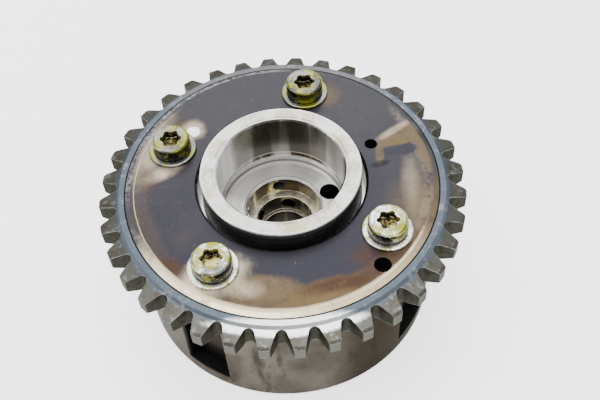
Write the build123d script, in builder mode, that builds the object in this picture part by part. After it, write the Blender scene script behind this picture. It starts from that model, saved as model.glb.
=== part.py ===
from build123d import *
from math import cos, radians, sin, tan
import os

# Hydraulic camshaft phaser with a 36-tooth timing-chain sprocket, in millimetres.
# +Z is the rotation axis, cam side up. z = 0 is the outer face of the front cover.

# Timing sprocket for an inverted-tooth chain
tooth_count = 36
chain_pitch = 8.0
tip_radius = chain_pitch / 2 * (1 / tan(radians(180 / tooth_count)) + 0.08)
tooth_height = 4.55
root_radius = tip_radius - tooth_height
gap_rounding = 1.4
gap_start_angle = 7.9
flank_angle = 22.0
tip_rounding = 0.45
sprocket_thickness = 6.8
ring_lip_thickness = 2.3

# Stack of the housing
sprocket_top = 40.4
front_cover_thickness = 4.8
plate_rise = 0.45
plate_bevel_width = 1.4
plate_radius = root_radius - 2.3
body_radius = plate_radius - 0.1
ring_lip_radius = plate_radius - 1.95
sprocket_bottom = sprocket_top - sprocket_thickness
plate_bottom = sprocket_bottom + ring_lip_thickness
plate_top = sprocket_top + plate_rise
end_clearance = 0.05

# Stator lobes, each named by the angle of its bolt, with its two side angles
lobe_angles = (76.0, 156.5, 236.0, 325.0)
lobe_half_angle = 14.5
dowel_lobe_start = 136.5
chamber_radius = body_radius - 6.4
bolt_circle_radius = chamber_radius - 2.6
corner_radius = 1.2
pocket_half_angle = 9.3
pocket_radius = body_radius - 3.2
pocket_top = sprocket_bottom - 2.6

# Rotor
hub_radius = 22.4
lobe_tip_radius = hub_radius + 0.3
vane_radius = chamber_radius - 0.3
travel_angle = 24.0
stop_gap_angle = 0.5
narrow_vane_angle = 20.0
narrow_vane_ends = (135.5, 217.5, 302.5)
collar_radius = 20.0
collar_top = sprocket_top + 5.0
cup_radius = 15.85
cup_floor = sprocket_top - 11.05
cup_groove_depth = 0.35
cup_groove_top = cup_floor + 3.4
cup_groove_bottom = cup_floor + 1.85
cup_chamfer = 0.45
collar_edge_chamfer = 0.25
seat_bore_radius = 9.5
seat_bore_chamfer = 0.55
seat_bore_floor = sprocket_top - 16.3
step_bore_radius = 7.1
step_bore_floor = sprocket_top - 21.25
centre_bore_radius = 5.9
edge_chamfer = 0.3
cam_dowel_radius = 2.55
cam_dowel_circle = 12.85
cam_dowel_angle = 18.8
cam_dowel_depth = 7.5
front_boss_radius = 14.0
front_boss_bottom = 0.4
front_bore_clearance = 0.05
oil_hole_radius = 1.8
oil_hole_height = sprocket_top - 14.0
lower_oil_hole_height = sprocket_top - 18.8
oil_hole_sweep = 22.5
oil_hole_offset = 5.5

# Strip seals and the leaf springs behind them
seal_width = 1.7
seal_slot_width = 1.8
seal_radial_size = 3.0
seal_spring_rise = 0.6
leaf_thickness = 0.25
leaf_width = 1.5
seal_clearance = 0.05
lobe_seal_inner = hub_radius + seal_clearance
lobe_seal_outer = lobe_seal_inner + seal_radial_size
lobe_slot_floor = lobe_seal_outer + seal_spring_rise
vane_seal_outer = chamber_radius - seal_clearance - 0.02
vane_seal_inner = vane_seal_outer - seal_radial_size
vane_slot_floor = vane_seal_inner - seal_spring_rise

# Lock pin in the wide vane
pin_circle_radius = 25.3
pin_angle = 23.0
pin_head_radius = 4.1
pin_nose_radius = 3.2
lock_groove_floor = 1.9
lock_groove_half_width = 3.35
pin_tip = lock_groove_floor + 0.3
pin_bore_floor = 9.5
pin_shoulder = pin_bore_floor + 0.3
pin_top = 19.0
pin_cavity_radius = 2.9
pin_cavity_floor = 10.5
pin_bore_radius = 4.2
nose_bore_radius = 3.3
spring_seat_radius = 4.55
spring_seat_bore_radius = 4.6
spring_seat_shoulder = plate_bottom - 4.4
spring_seat_top = plate_bottom - 0.3
spring_seat_foot = plate_bottom - 9.9
spring_seat_vent_radius = 1.0
spring_wire_radius = 0.4
spring_mean_radius = 2.35
spring_pitch = 2.0

# Bolts, washers, dowel and open holes of the cam-side plate
washer_radius = 6.15
washer_hole_radius = 3.2
washer_thickness = 0.75
head_bottom = plate_top + washer_thickness
bolt_head_radius = 4.8
bolt_head_top = sprocket_top + 5.0
bolt_head_rounding = 0.85
bolt_shank_radius = 2.95
bolt_hole_radius = 3.3
bolt_thread_radius = 3.0
bolt_end = 0.8
torx_lobe_circle = 2.0
torx_lobe_radius = 0.7
torx_core_radius = 2.2
torx_depth = 2.5
vent_hole_radius = 1.6
index_hole_radius = 2.05
index_hole_circle = ring_lip_radius - index_hole_radius - 0.2
index_hole_angle = 310.1
plate_bore_radius = collar_radius + 1.1
plate_bore_chamfer = 0.6
cover_dowel_radius = 1.85
cover_dowel_circle = bolt_circle_radius - 1.5
cover_dowel_angle = 141.9
cover_dowel_bottom = plate_bottom - 9.0
cover_dowel_top = plate_top - 0.05

os.makedirs("parts", exist_ok=True)


def polar(radius, angle):
    """Plan position at a radius and an angle in degrees."""
    return (radius * cos(radians(angle)), radius * sin(radians(angle)))


def sector(inner, outer, start, end, rounding):
    """Ring sector whose two outer corners are rounded."""
    with BuildSketch() as shape:
        with BuildLine():
            outer_arc = CenterArc((0, 0), outer, start, end - start)
            inner_arc = CenterArc((0, 0), inner, start, end - start)
            Line(outer_arc @ 0, inner_arc @ 0)
            Line(outer_arc @ 1, inner_arc @ 1)
        make_face()
        outer_corners = shape.vertices().sort_by(lambda corner: Vector(corner.X, corner.Y).length)[2:]
        fillet(outer_corners, rounding)
    return shape.sketch


def finish(solid, name):
    """Label a finished piece and write its STEP file."""
    solid.part.label = name
    export_step(solid.part, f"parts/{name}.step")


# Chambers run from one lobe's side to the next one's
lobe_sides = [(angle - lobe_half_angle, angle + lobe_half_angle) for angle in lobe_angles]
lobe_sides[1] = (dowel_lobe_start, lobe_sides[1][1])
chambers = [(lobe_sides[i][1], lobe_sides[(i + 1) % 4][0] + (360 if i == 3 else 0)) for i in range(4)]

# Vanes at rest: the wide one stands at its upper stop
wide_vane_end = chambers[3][1] - stop_gap_angle
wide_vane_start = chambers[3][0] + travel_angle + stop_gap_angle
vanes = [(end - narrow_vane_angle, end) for end in narrow_vane_ends]
vanes.append((wide_vane_start, wide_vane_end))
vane_seal_angles = [(start + end) / 2 for start, end in vanes[:3]]
vane_seal_angles.append(wide_vane_end - 12.0)


# Sprocket ring: toothed rim, side relief on both faces, and a lip that the plate clamps
gap_centre = root_radius + gap_rounding
gap_mouth = tip_radius + 1
tangent_radius = gap_centre - gap_rounding * sin(radians(flank_angle))
tangent_half_width = gap_rounding * cos(radians(flank_angle))
mouth_half_width = tangent_half_width + (gap_mouth - tangent_radius) * tan(radians(flank_angle))
with BuildSketch() as tooth_gap:
    with BuildLine():
        flank_low = (tangent_radius, -tangent_half_width)
        flank_high = (tangent_radius, tangent_half_width)
        ThreePointArc(flank_low, (root_radius, 0), flank_high)
        Line(flank_high, (gap_mouth, mouth_half_width))
        Line((gap_mouth, mouth_half_width), (gap_mouth, -mouth_half_width))
        Line((gap_mouth, -mouth_half_width), flank_low)
    make_face()
with BuildPart() as sprocket_ring:
    with BuildSketch(Plane.XY.offset(sprocket_bottom)) as rim:
        Circle(tip_radius)
        with PolarLocations(0, tooth_count, start_angle=gap_start_angle):
            add(tooth_gap.sketch, mode=Mode.SUBTRACT)
        tips = rim.vertices().filter_by(lambda corner: Vector(corner.X, corner.Y).length > tip_radius - 0.01)
        fillet(tips, tip_rounding)
        Circle(ring_lip_radius, mode=Mode.SUBTRACT)
    extrude(amount=sprocket_thickness)
    with BuildSketch(Plane.XY.offset(plate_bottom)):
        Circle(plate_radius)
    extrude(amount=plate_top - plate_bottom, mode=Mode.SUBTRACT)
    with BuildSketch(Plane.XZ):
        with BuildLine():
            upper_relief = Polyline(
                (root_radius - 0.6, sprocket_top),
                (root_radius, sprocket_top - 0.8),
                (root_radius + 2.1, sprocket_top - 1.4),
                (root_radius + 3.8, sprocket_top - 1.9),
                (tip_radius + 0.3, sprocket_top - 2.6),
                (tip_radius + 0.3, sprocket_top + 1),
                (root_radius - 0.6, sprocket_top + 1),
                close=True,
            )
        make_face()
        with BuildLine():
            lower_relief = Polyline(
                (root_radius + 1.9, sprocket_bottom),
                (tip_radius + 0.3, sprocket_bottom + 0.95),
                (tip_radius + 0.3, sprocket_bottom - 1),
                (root_radius + 1.9, sprocket_bottom - 1),
                close=True,
            )
        make_face()
    revolve(axis=Axis.Z, mode=Mode.SUBTRACT)
finish(sprocket_ring, "sprocket_ring")


# Cam-side cover plate with its bevelled rim, bolt holes, vent hole and index hole
with BuildPart() as cam_cover_plate:
    with BuildSketch(Plane.XZ):
        with BuildLine():
            Polyline(
                (plate_bore_radius, plate_bottom),
                (plate_radius, plate_bottom),
                (plate_radius, sprocket_top),
                (plate_radius - plate_bevel_width, plate_top),
                (plate_bore_radius + plate_bore_chamfer, plate_top),
                (plate_bore_radius, plate_top - plate_bore_chamfer),
                close=True,
            )
        make_face()
    revolve(axis=Axis.Z)
    with BuildSketch(Plane.XY.offset(plate_bottom)):
        with Locations(*[polar(bolt_circle_radius, angle) for angle in lobe_angles]):
            Circle(bolt_hole_radius)
        with Locations(polar(pin_circle_radius, pin_angle)):
            Circle(vent_hole_radius)
        with Locations(polar(index_hole_circle, index_hole_angle)):
            Circle(index_hole_radius)
        with Locations(polar(cover_dowel_circle, cover_dowel_angle)):
            Circle(cover_dowel_radius)
    extrude(amount=plate_top - plate_bottom, mode=Mode.SUBTRACT)
finish(cam_cover_plate, "cam_cover_plate")


# Stator housing: round body, four lobes, outer pockets behind them and a spigot for the ring
with BuildPart() as stator_housing:
    with BuildSketch(Plane.XY.offset(front_cover_thickness)):
        Circle(body_radius)
    extrude(amount=sprocket_bottom - front_cover_thickness)
    with BuildSketch(Plane.XY.offset(sprocket_bottom)):
        Circle(ring_lip_radius)
    extrude(amount=plate_bottom - sprocket_bottom)
    with BuildSketch(Plane.XY.offset(front_cover_thickness)):
        Circle(lobe_tip_radius)
        for start, end in chambers:
            add(sector(lobe_tip_radius - 1, chamber_radius, start, end, corner_radius))
        with Locations(*[polar(bolt_circle_radius, angle) for angle in lobe_angles]):
            Circle(bolt_hole_radius)
    extrude(amount=plate_bottom - front_cover_thickness, mode=Mode.SUBTRACT)
    with BuildSketch(Plane.XY.offset(front_cover_thickness)):
        for angle in lobe_angles:
            with Locations(Location(polar(lobe_tip_radius, angle), angle)):
                Rectangle(2 * (lobe_slot_floor - lobe_tip_radius), seal_slot_width)
    extrude(amount=plate_bottom - front_cover_thickness, mode=Mode.SUBTRACT)
    with BuildSketch(Plane.XY.offset(front_cover_thickness)):
        for angle in lobe_angles:
            add(sector(pocket_radius, body_radius + 2, angle - pocket_half_angle, angle + pocket_half_angle, 0.5))
    extrude(amount=pocket_top - front_cover_thickness, mode=Mode.SUBTRACT)
    with BuildSketch(Plane.XY.offset(cover_dowel_bottom)):
        with Locations(polar(cover_dowel_circle, cover_dowel_angle)):
            Circle(cover_dowel_radius)
    extrude(amount=plate_bottom - cover_dowel_bottom, mode=Mode.SUBTRACT)
finish(stator_housing, "stator_housing")


# Front cover: carries the bolt threads, the rotor's journal bore and the lock pin's groove
with BuildPart() as front_cover:
    Cylinder(body_radius, front_cover_thickness, align=(Align.CENTER, Align.CENTER, Align.MIN))
    chamfer(front_cover.edges().filter_by(GeomType.CIRCLE).sort_by(Axis.Z)[0], 0.8)
    with BuildSketch():
        Circle(front_boss_radius + front_bore_clearance)
        with Locations(*[polar(bolt_circle_radius, angle) for angle in lobe_angles]):
            Circle(bolt_thread_radius)
    extrude(amount=front_cover_thickness, mode=Mode.SUBTRACT)
    with BuildSketch(Plane.XY.offset(lock_groove_floor)):
        groove_line = CenterArc((0, 0), pin_circle_radius, pin_angle - travel_angle, travel_angle)
        SlotArc(groove_line, 2 * lock_groove_half_width)
    extrude(amount=front_cover_thickness - lock_groove_floor, mode=Mode.SUBTRACT)
finish(front_cover, "front_cover")


# Rotor: hub, four vanes, cam collar with its cup, stepped centre bore and oil drillings
def oil_drilling(from_radius, from_angle, to_angle, height):
    """Oblique drilling from the centre bore out through the hub."""
    start = polar(from_radius - 1, from_angle)
    end = polar(hub_radius + 1, to_angle)
    direction = Vector(end[0] - start[0], end[1] - start[1], 0)
    plane = Plane(origin=(start[0], start[1], height), z_dir=direction)
    with BuildPart() as drilling:
        with BuildSketch(plane):
            Circle(oil_hole_radius)
        extrude(amount=direction.length)
    return drilling.part


rotor_bottom = front_cover_thickness + end_clearance
rotor_top = plate_bottom - end_clearance
with BuildPart() as rotor:
    with BuildSketch(Plane.XY.offset(rotor_bottom)):
        Circle(hub_radius)
        for start, end in vanes:
            add(sector(hub_radius - 2, vane_radius, start, end, corner_radius))
        for angle in vane_seal_angles:
            with Locations(Location(polar(vane_radius, angle), angle)):
                Rectangle(2 * (vane_radius - vane_slot_floor), seal_slot_width, mode=Mode.SUBTRACT)
    extrude(amount=rotor_top - rotor_bottom)
    with BuildSketch(Plane.XZ):
        with BuildLine():
            Polyline(
                (0, front_boss_bottom),
                (front_boss_radius, front_boss_bottom),
                (front_boss_radius, rotor_bottom + 1),
                (collar_radius, rotor_bottom + 1),
                (collar_radius, collar_top - collar_edge_chamfer),
                (collar_radius - collar_edge_chamfer, collar_top),
                (0, collar_top),
                close=True,
            )
        make_face()
    revolve(axis=Axis.Z)
    with BuildSketch(Plane.XZ):
        with BuildLine():
            Polyline(
                (0, collar_top),
                (cup_radius + cup_chamfer, collar_top),
                (cup_radius, collar_top - cup_chamfer),
                (cup_radius, cup_groove_top),
                (cup_radius + cup_groove_depth, cup_groove_top - cup_groove_depth),
                (cup_radius + cup_groove_depth, cup_groove_bottom),
                (cup_radius, cup_groove_bottom),
                (cup_radius, cup_floor),
                (seat_bore_radius + seat_bore_chamfer, cup_floor),
                (seat_bore_radius, cup_floor - seat_bore_chamfer),
                (seat_bore_radius, seat_bore_floor),
                (step_bore_radius + edge_chamfer, seat_bore_floor),
                (step_bore_radius, seat_bore_floor - edge_chamfer),
                (step_bore_radius, step_bore_floor),
                (centre_bore_radius + edge_chamfer, step_bore_floor),
                (centre_bore_radius, step_bore_floor - edge_chamfer),
                (centre_bore_radius, front_boss_bottom),
                (0, front_boss_bottom),
                close=True,
            )
        make_face()
    revolve(axis=Axis.Z, mode=Mode.SUBTRACT)
    with BuildSketch(Plane.XY.offset(cup_floor)):
        with Locations(polar(cam_dowel_circle, cam_dowel_angle)):
            Circle(cam_dowel_radius)
    extrude(amount=-cam_dowel_depth, mode=Mode.SUBTRACT)
    for start, end in vanes:
        upper_angles = (start - oil_hole_sweep, start - oil_hole_offset)
        lower_angles = (end + oil_hole_sweep, end + oil_hole_offset)
        add(oil_drilling(seat_bore_radius, *upper_angles, oil_hole_height), mode=Mode.SUBTRACT)
        add(oil_drilling(step_bore_radius, *lower_angles, lower_oil_hole_height), mode=Mode.SUBTRACT)
    with BuildSketch(Plane.XY.offset(rotor_bottom)):
        with Locations(polar(pin_circle_radius, pin_angle)):
            Circle(nose_bore_radius)
    extrude(amount=pin_bore_floor - rotor_bottom, mode=Mode.SUBTRACT)
    with BuildSketch(Plane.XY.offset(pin_bore_floor)):
        with Locations(polar(pin_circle_radius, pin_angle)):
            Circle(pin_bore_radius)
    extrude(amount=rotor_top - pin_bore_floor, mode=Mode.SUBTRACT)
    with BuildSketch(Plane.XY.offset(spring_seat_shoulder)):
        with Locations(polar(pin_circle_radius, pin_angle)):
            Circle(spring_seat_bore_radius)
    extrude(amount=rotor_top - spring_seat_shoulder, mode=Mode.SUBTRACT)
finish(rotor, "rotor")


# Lock pin: hollow piston with a narrower nose
with BuildPart() as lock_pin:
    with BuildSketch(Plane(origin=(*polar(pin_circle_radius, pin_angle), 0), x_dir=(1, 0, 0), z_dir=(0, -1, 0))):
        with BuildLine():
            Polyline(
                (0, pin_tip),
                (pin_nose_radius - 0.4, pin_tip),
                (pin_nose_radius, pin_tip + 0.4),
                (pin_nose_radius, pin_shoulder),
                (pin_head_radius, pin_shoulder),
                (pin_head_radius, pin_top),
                (pin_cavity_radius, pin_top),
                (pin_cavity_radius, pin_cavity_floor),
                (0, pin_cavity_floor),
                close=True,
            )
        make_face()
    revolve(axis=Axis((*polar(pin_circle_radius, pin_angle), 0), (0, 0, 1)))
finish(lock_pin, "lock_pin")


# Spring seat: flanged plug with a vent through it
with BuildPart() as lock_spring_seat:
    with BuildSketch(Plane(origin=(*polar(pin_circle_radius, pin_angle), 0), x_dir=(1, 0, 0), z_dir=(0, -1, 0))):
        with BuildLine():
            Polyline(
                (spring_seat_vent_radius, spring_seat_foot),
                (pin_head_radius, spring_seat_foot),
                (pin_head_radius, spring_seat_shoulder),
                (spring_seat_radius, spring_seat_shoulder),
                (spring_seat_radius, spring_seat_top),
                (spring_seat_vent_radius, spring_seat_top),
                close=True,
            )
        make_face()
    revolve(axis=Axis((*polar(pin_circle_radius, pin_angle), 0), (0, 0, 1)))
finish(lock_spring_seat, "lock_spring_seat")


# Lock spring: round-wire coil between the pin's cavity floor and the seat
spring_low = pin_cavity_floor + spring_wire_radius
spring_high = spring_seat_foot - spring_wire_radius
with BuildPart() as lock_pin_spring:
    with BuildLine() as coil_line:
        Helix(
            pitch=spring_pitch,
            height=spring_high - spring_low,
            radius=spring_mean_radius,
            center=(*polar(pin_circle_radius, pin_angle), spring_low),
        )
    with BuildSketch(Plane(origin=coil_line.line @ 0, z_dir=coil_line.line % 0)):
        Circle(spring_wire_radius)
    sweep(path=coil_line.line, is_frenet=True)
finish(lock_pin_spring, "lock_pin_spring")


# Strip seals: straight bars in the vane tips and the lobe tips
seal_bottom = rotor_bottom + 0.1
seal_height = rotor_top - rotor_bottom - 0.2
leaf_length = 0.8 * seal_height


def strip_seal(inner_radius, angle):
    """Seal bar whose inner face stands at a radius."""
    with BuildPart() as bar:
        with BuildSketch(Plane.XY.offset(seal_bottom)):
            with Locations(Location(polar(inner_radius + seal_radial_size / 2, angle), angle)):
                Rectangle(seal_radial_size, seal_width)
        extrude(amount=seal_height)
    return bar


def leaf_spring(foot_radius, crest_radius, angle):
    """Bowed strip with flat feet at one radius and a flat crest at the other."""
    middle = seal_bottom + seal_height / 2
    side = 1 if crest_radius > foot_radius else -1
    feet = (foot_radius, middle - leaf_length / 2, middle + leaf_length / 2)
    strip_plane = Plane(origin=(0, 0, 0), x_dir=(*polar(1, angle), 0), z_dir=(*polar(1, angle - 90), 0))
    with BuildPart() as strip:
        with BuildSketch(strip_plane):
            with BuildLine():
                crest_back = crest_radius - side * leaf_thickness
                foot_face = foot_radius + side * leaf_thickness
                Polyline(
                    (feet[0], feet[1]),
                    (feet[0], feet[1] + 2.5),
                    (crest_back, middle - 2.5),
                    (crest_back, middle + 2.5),
                    (feet[0], feet[2] - 2.5),
                    (feet[0], feet[2]),
                    (foot_face, feet[2]),
                    (foot_face, feet[2] - 2.5),
                    (crest_radius, middle + 2.5),
                    (crest_radius, middle - 2.5),
                    (foot_face, feet[1] + 2.5),
                    (foot_face, feet[1]),
                    close=True,
                )
            make_face()
        extrude(amount=leaf_width / 2, both=True)
    return strip


for number, angle in enumerate(vane_seal_angles, start=1):
    finish(strip_seal(vane_seal_inner, angle), f"vane_tip_seal_{number}")
    finish(leaf_spring(vane_slot_floor, vane_seal_inner, angle), f"vane_seal_spring_{number}")

for number, angle in enumerate(lobe_angles, start=1):
    finish(strip_seal(lobe_seal_inner, angle), f"lobe_seal_{number}")
    finish(leaf_spring(lobe_slot_floor, lobe_seal_outer, angle), f"lobe_seal_spring_{number}")


# Cover bolts with six-lobed sockets, and the washers under their heads
def cover_bolt(angle):
    """Cylindrical-head bolt, head on the cam side."""
    x, y = polar(bolt_circle_radius, angle)
    with BuildPart() as bolt:
        with BuildSketch(Plane(origin=(x, y, head_bottom))):
            Circle(bolt_head_radius)
        extrude(amount=bolt_head_top - head_bottom)
        fillet(bolt.edges().filter_by(GeomType.CIRCLE).sort_by(Axis.Z)[-1], bolt_head_rounding)
        with BuildSketch(Plane(origin=(x, y, head_bottom))):
            Circle(bolt_shank_radius)
        extrude(amount=bolt_end - head_bottom)
        chamfer(bolt.edges().filter_by(GeomType.CIRCLE).sort_by(Axis.Z)[0], 0.6)
        with BuildSketch(Plane(origin=(x, y, bolt_head_top))) as socket:
            Circle(torx_core_radius)
            with PolarLocations(torx_lobe_circle, 6):
                Circle(torx_lobe_radius)
            fillet(socket.vertices(), 0.2)
        extrude(amount=-torx_depth, mode=Mode.SUBTRACT)
    return bolt


def bolt_washer(angle):
    """Flat washer with a rounded upper edge."""
    x, y = polar(bolt_circle_radius, angle)
    with BuildPart() as washer:
        with BuildSketch(Plane(origin=(x, y, plate_top))):
            Circle(washer_radius)
            Circle(washer_hole_radius, mode=Mode.SUBTRACT)
        extrude(amount=washer_thickness)
        outer_edge = washer.edges().filter_by(GeomType.CIRCLE).group_by(SortBy.RADIUS)[-1].sort_by(Axis.Z)[-1]
        fillet(outer_edge, 0.3)
    return washer


for number, angle in enumerate(lobe_angles, start=1):
    finish(cover_bolt(angle), f"cover_bolt_{number}")
    finish(bolt_washer(angle), f"bolt_washer_{number}")


# Dowel that locates the cam-side plate on the stator
with BuildPart() as cover_dowel:
    with BuildSketch(Plane(origin=(*polar(cover_dowel_circle, cover_dowel_angle), cover_dowel_bottom))):
        Circle(cover_dowel_radius)
    extrude(amount=cover_dowel_top - cover_dowel_bottom)
finish(cover_dowel, "cover_dowel")
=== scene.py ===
import bpy
import math
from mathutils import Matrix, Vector


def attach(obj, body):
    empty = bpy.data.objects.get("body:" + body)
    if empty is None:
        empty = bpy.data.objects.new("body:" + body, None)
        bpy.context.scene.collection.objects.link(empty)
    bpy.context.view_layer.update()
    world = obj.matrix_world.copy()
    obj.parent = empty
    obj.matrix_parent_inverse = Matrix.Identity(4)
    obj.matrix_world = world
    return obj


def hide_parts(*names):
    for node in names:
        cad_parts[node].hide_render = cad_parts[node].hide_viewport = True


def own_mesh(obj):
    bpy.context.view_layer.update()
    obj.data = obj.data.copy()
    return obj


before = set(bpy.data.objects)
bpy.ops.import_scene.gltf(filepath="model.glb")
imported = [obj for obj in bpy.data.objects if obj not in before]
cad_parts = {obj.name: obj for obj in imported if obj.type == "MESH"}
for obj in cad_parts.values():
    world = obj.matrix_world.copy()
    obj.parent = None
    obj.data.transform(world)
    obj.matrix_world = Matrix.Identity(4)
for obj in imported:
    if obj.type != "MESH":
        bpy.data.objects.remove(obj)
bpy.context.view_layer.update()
print("frame loaded:", len(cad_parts), "nodes")

# one millimetre in Blender's metres
mm = 0.001


def polar(radius, degrees):
    return radius * math.cos(math.radians(degrees)), radius * math.sin(math.radians(degrees))


# plan angles of the four bolts, and the radius that they stand on, in mm
boltLayout = {"angles": (76.0, 156.5, 236.0, 325.0), "radius": 30.09}
boltPlaces = [polar(boltLayout["radius"], angle) for angle in boltLayout["angles"]]

# camera
cameraSettings = {
    "focalLength": 52.55, "sensorWidth": 36, "nearest": 0.005, "farthest": 60,
    "location": (0.004314, -0.135359, 0.212243),
    "rotation": (36.842, 2.058, -2.744),
}


def makeCamera():
    settings = cameraSettings
    data = bpy.data.cameras.new("workCamera")
    data.lens = settings["focalLength"]
    data.sensor_width = settings["sensorWidth"]
    data.clip_start = settings["nearest"]
    data.clip_end = settings["farthest"]
    camera = bpy.data.objects.new("workCamera", data)
    camera.location = settings["location"]
    camera.rotation_euler = [math.radians(angle) for angle in settings["rotation"]]
    bpy.context.scene.collection.objects.link(camera)
    bpy.context.scene.camera = camera


makeCamera()


class Wire:
    # a socket that can be added, multiplied and so on
    def __init__(self, tree, socket):
        self.tree = tree
        self.socket = socket

    def node(self, kind, settings=None, inputs=None, output=0):
        made = self.tree.nodes.new(kind)
        for name, value in (settings or {}).items():
            setattr(made, name, value)
        for name, value in (inputs or {}).items():
            if isinstance(value, Wire):
                self.tree.links.new(value.socket, made.inputs[name])
            else:
                made.inputs[name].default_value = value
        return Wire(self.tree, made.outputs[output])

    def maths(self, operation, *values):
        return self.node("ShaderNodeMath", {"operation": operation}, dict(enumerate(values)))

    def larger(self, other):
        return self.maths("MAXIMUM", self, other)

    def smaller(self, other):
        return self.maths("MINIMUM", self, other)

    def __add__(self, other):
        return self.maths("ADD", self, other)

    def __radd__(self, other):
        return self.maths("ADD", other, self)

    def __sub__(self, other):
        return self.maths("SUBTRACT", self, other)

    def __rsub__(self, other):
        return self.maths("SUBTRACT", other, self)

    def __mul__(self, other):
        return self.maths("MULTIPLY", self, other)

    def __rmul__(self, other):
        return self.maths("MULTIPLY", other, self)

    def __truediv__(self, other):
        return self.maths("DIVIDE", self, other)

    def __rtruediv__(self, other):
        return self.maths("DIVIDE", other, self)

    def __pow__(self, other):
        return self.maths("POWER", self, other)

    def __rpow__(self, other):
        return self.maths("POWER", other, self)


def ease(value, low, high):
    # 0 at low and 1 at high, smooth between
    return value.node("ShaderNodeMapRange", {"interpolation_type": "SMOOTHSTEP"}, {0: value, 1: low, 2: high})


def band(value, low, high, soft):
    # 1 between low and high, 0 outside
    return ease(value, low - soft, low + soft) * ease(value, high + soft, high - soft)


def mix(factor, low, high):
    # between two colours
    ends = {6: low if isinstance(low, Wire) else (*low, 1), 7: high if isinstance(high, Wire) else (*high, 1)}
    return factor.node("ShaderNodeMix", {"data_type": "RGBA"}, {0: factor, **ends}, 2)


def blend(factor, low, high):
    # between two values
    return factor.node("ShaderNodeMix", {"data_type": "FLOAT"}, {0: factor, 2: low, 3: high}, 0)


def dimmed(tint, share):
    return [part * share for part in tint]


class Finish:
    # a material under way: x, y, z and radius in mm from the object's own axis, angle in degrees
    def __init__(self, name, settings):
        self.material = bpy.data.materials.new(name)
        self.material.use_nodes = True
        self.tree = self.material.node_tree
        self.surface = self.tree.nodes["Principled BSDF"]
        for socket, value in settings.items():
            self.surface.inputs[socket].default_value = value
        self.start = Wire(self.tree, None)
        coords = self.start.node("ShaderNodeTexCoord", output=3)
        self.place = self.start.node("ShaderNodeVectorMath", {"operation": "SCALE"}, {0: coords, 3: 1 / mm})
        self.x = self.start.node("ShaderNodeSeparateXYZ", {}, {0: self.place}, 0)
        self.y = Wire(self.tree, self.x.socket.node.outputs[1])
        self.z = Wire(self.tree, self.x.socket.node.outputs[2])
        self.radius = (self.x * self.x + self.y * self.y) ** 0.5
        self.angle = self.x.maths("ARCTAN2", self.y, self.x) * (180 / math.pi)
        self.colour = None

    def noise(self, scale, detail=4.0, roughness=0.55, place=None, shift=0.0):
        # scale is in cells per mm
        inputs = {"Scale": scale, "Detail": detail, "Roughness": roughness, "W": shift}
        inputs["Vector"] = place or self.place
        return self.start.node("ShaderNodeTexNoise", {"noise_dimensions": "4D"}, inputs)

    def vector(self, x, y, z):
        return self.start.node("ShaderNodeCombineXYZ", {}, {0: x, 1: y, 2: z})

    def distance(self, x, y):
        across = self.x - x
        along = self.y - y
        return (across * across + along * along) ** 0.5

    def trueNormal(self):
        return self.start.node("ShaderNodeNewGeometry", output=1)

    def softNormal(self, radius):
        return self.start.node("ShaderNodeBevel", {"samples": 6}, {"Radius": radius * mm})

    def facing(self):
        # 1 on faces that look up, 0 on walls, -1 below
        return self.start.node("ShaderNodeSeparateXYZ", {}, {0: self.trueNormal()}, 2)

    def edges(self, radius):
        # 1 along sharp edges, where the softened normal leaves the true one
        ends = {0: self.softNormal(radius), 1: self.trueNormal()}
        agree = self.start.node("ShaderNodeVectorMath", {"operation": "DOT_PRODUCT"}, ends, 1)
        return ease(1 - agree, 0.02, 0.16)

    def paint(self, mask, tint):
        # a tint over what is there, as far as the mask goes
        self.colour = mix(mask, self.colour, tint)

    def feed(self, socket, wire):
        self.tree.links.new(wire.socket, self.surface.inputs[socket])

    def close(self, roughness, edgeRadius, relief, depth):
        # colour, roughness, and softened edges with fine relief on top
        self.feed("Base Color", self.colour)
        self.feed("Roughness", roughness)
        inputs = {"Strength": 1.0, "Distance": depth * mm, "Height": relief}
        inputs["Normal"] = self.softNormal(edgeRadius)
        self.feed("Normal", self.start.node("ShaderNodeBump", {}, inputs))
        return self.material


def stain(finish, warp, across, along, halfWidth, halfHeight, turn, soft, rough):
    # a patch with a torn edge: 1 inside, 0 outside
    c, s = polar(1, turn)
    dx = finish.x - across
    dy = finish.y - along
    u = (dx * c + dy * s) / halfWidth
    v = (dy * c - dx * s) / halfHeight
    reach = (u * u + v * v) ** 0.5 + (warp - 0.5) * (2 * rough)
    return ease(reach, 1 + soft, 1 - soft)


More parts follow.
